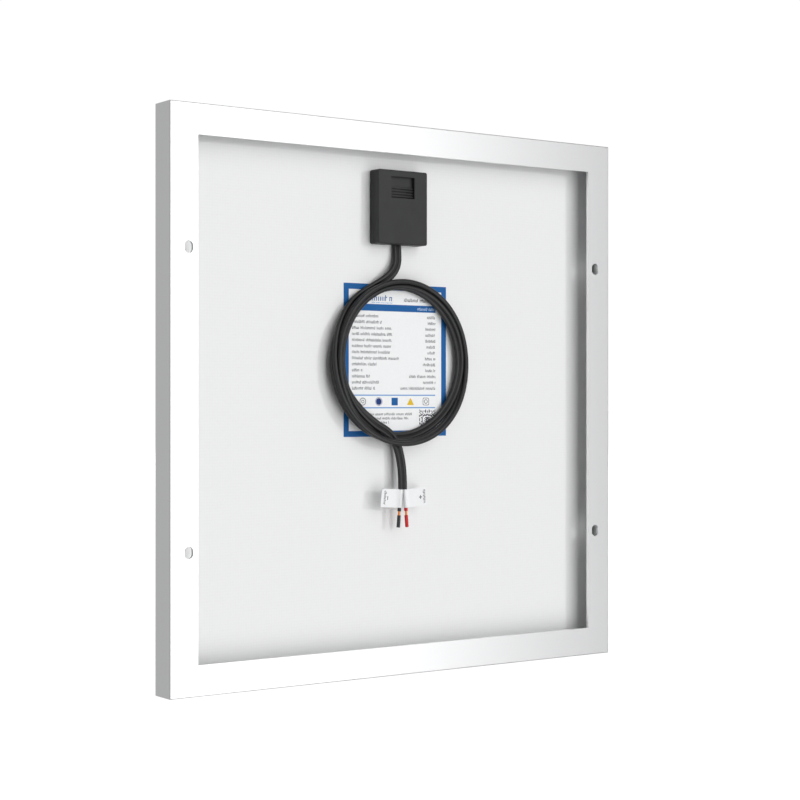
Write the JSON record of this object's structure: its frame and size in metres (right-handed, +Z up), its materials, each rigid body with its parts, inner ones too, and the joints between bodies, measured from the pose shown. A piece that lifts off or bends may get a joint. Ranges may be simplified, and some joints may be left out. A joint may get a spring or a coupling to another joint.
{
  "type": "solar panel",
  "caption": "Small aluminium-framed solar panel seen from its back, with a junction box, a lidded wiring chamber and a coiled twin lead that ends in flagged bare wires.",
  "frame": {"origin": "middle of the bottom edge of the frame, halfway through its depth", "axes": "+Z up along the panel's height, +Y out of the back, so the glass faces -Y, +X to the left as seen from behind"},
  "size_m": [0.36, 0.02, 0.37],
  "materials": {
    "anodised_aluminium": "matt clear anodised, fine grain",
    "nylon_key": "moulded",
    "butyl_seal": "satin",
    "tempered_glass": "clear, faintly patterned",
    "eva": "clear, laminated",
    "white_backsheet": "satin film",
    "silicon_cell": "polycrystalline, anti-reflection blue",
    "tinned_ribbon": "tinned copper, satin",
    "printed_label": "satin laminated",
    "silicone_adhesive": "matt",
    "charcoal_plastic": "fine spark texture",
    "black_plastic": "fine spark texture",
    "gasket_rubber": "matt",
    "brass_terminal": "turned",
    "zinc_screw": "zinc plated",
    "diode_epoxy": "moulded",
    "pvc_jacket": "satin",
    "red_insulation": "satin",
    "black_insulation": "satin",
    "bare_copper": "stranded copper",
    "white_flag": "satin"
  },
  "bodies": {
    "panel": {"frame_rail_left": "anodised_aluminium", "frame_rail_right": "anodised_aluminium", "frame_rail_top": "anodised_aluminium", "frame_rail_bottom": "anodised_aluminium", "corner_keys": "nylon_key", "edge_seal": "butyl_seal", "glass": "tempered_glass", "front_encapsulant": "eva", "rear_encapsulant": "eva", "backsheet": "white_backsheet", "cell_string_1": "silicon_cell", "cell_string_2": "silicon_cell", "cell_string_3": "silicon_cell", "cell_string_4": "silicon_cell", "tab_ribbons_1": "tinned_ribbon", "tab_ribbons_2": "tinned_ribbon", "tab_ribbons_3": "tinned_ribbon", "tab_ribbons_4": "tinned_ribbon", "bus_link_bottom_right": "tinned_ribbon", "bus_link_bottom_left": "tinned_ribbon", "bus_link_top": "tinned_ribbon", "bus_lead_positive": "tinned_ribbon", "bus_lead_negative": "tinned_ribbon", "rating_label": "printed_label", "jbox_adhesive": "silicone_adhesive", "jbox_base": "charcoal_plastic", "lid_gasket": "gasket_rubber", "terminal_positive": "brass_terminal", "terminal_negative": "brass_terminal", "terminal_screws": "zinc_screw", "bypass_diode": "diode_epoxy", "diode_leads": "tinned_ribbon", "cable_grommet": "gasket_rubber", "cable_clamp": "charcoal_plastic", "clamp_screws": "zinc_screw", "inner_wire_positive": "red_insulation", "inner_wire_negative": "black_insulation", "lead_drop": "pvc_jacket", "lead_coil": "pvc_jacket", "lead_tail": "pvc_jacket", "core_positive": "red_insulation", "core_negative": "black_insulation", "conductor_positive": "bare_copper", "conductor_negative": "bare_copper", "slug_positive": "red_insulation", "slug_negative": "black_insulation", "flag_positive": "white_flag", "flag_negative": "white_flag"},
    "lid": {"jbox_lid": "charcoal_plastic"},
    "latch": {"lid_latch": "black_plastic"}
  },
  "joints": [
    {"name": "lid_hinge", "type": "hinge", "parent": "panel", "child": "lid", "pos_m": [0.00175, 0.00168, 0.2899], "axis": [-1, 0, 0], "range_deg": [0, 100]},
    {"name": "latch_slide", "type": "slide", "parent": "lid", "child": "latch", "axis": [0, 0, 1], "range_m": [0, 0.005]}
  ]
}
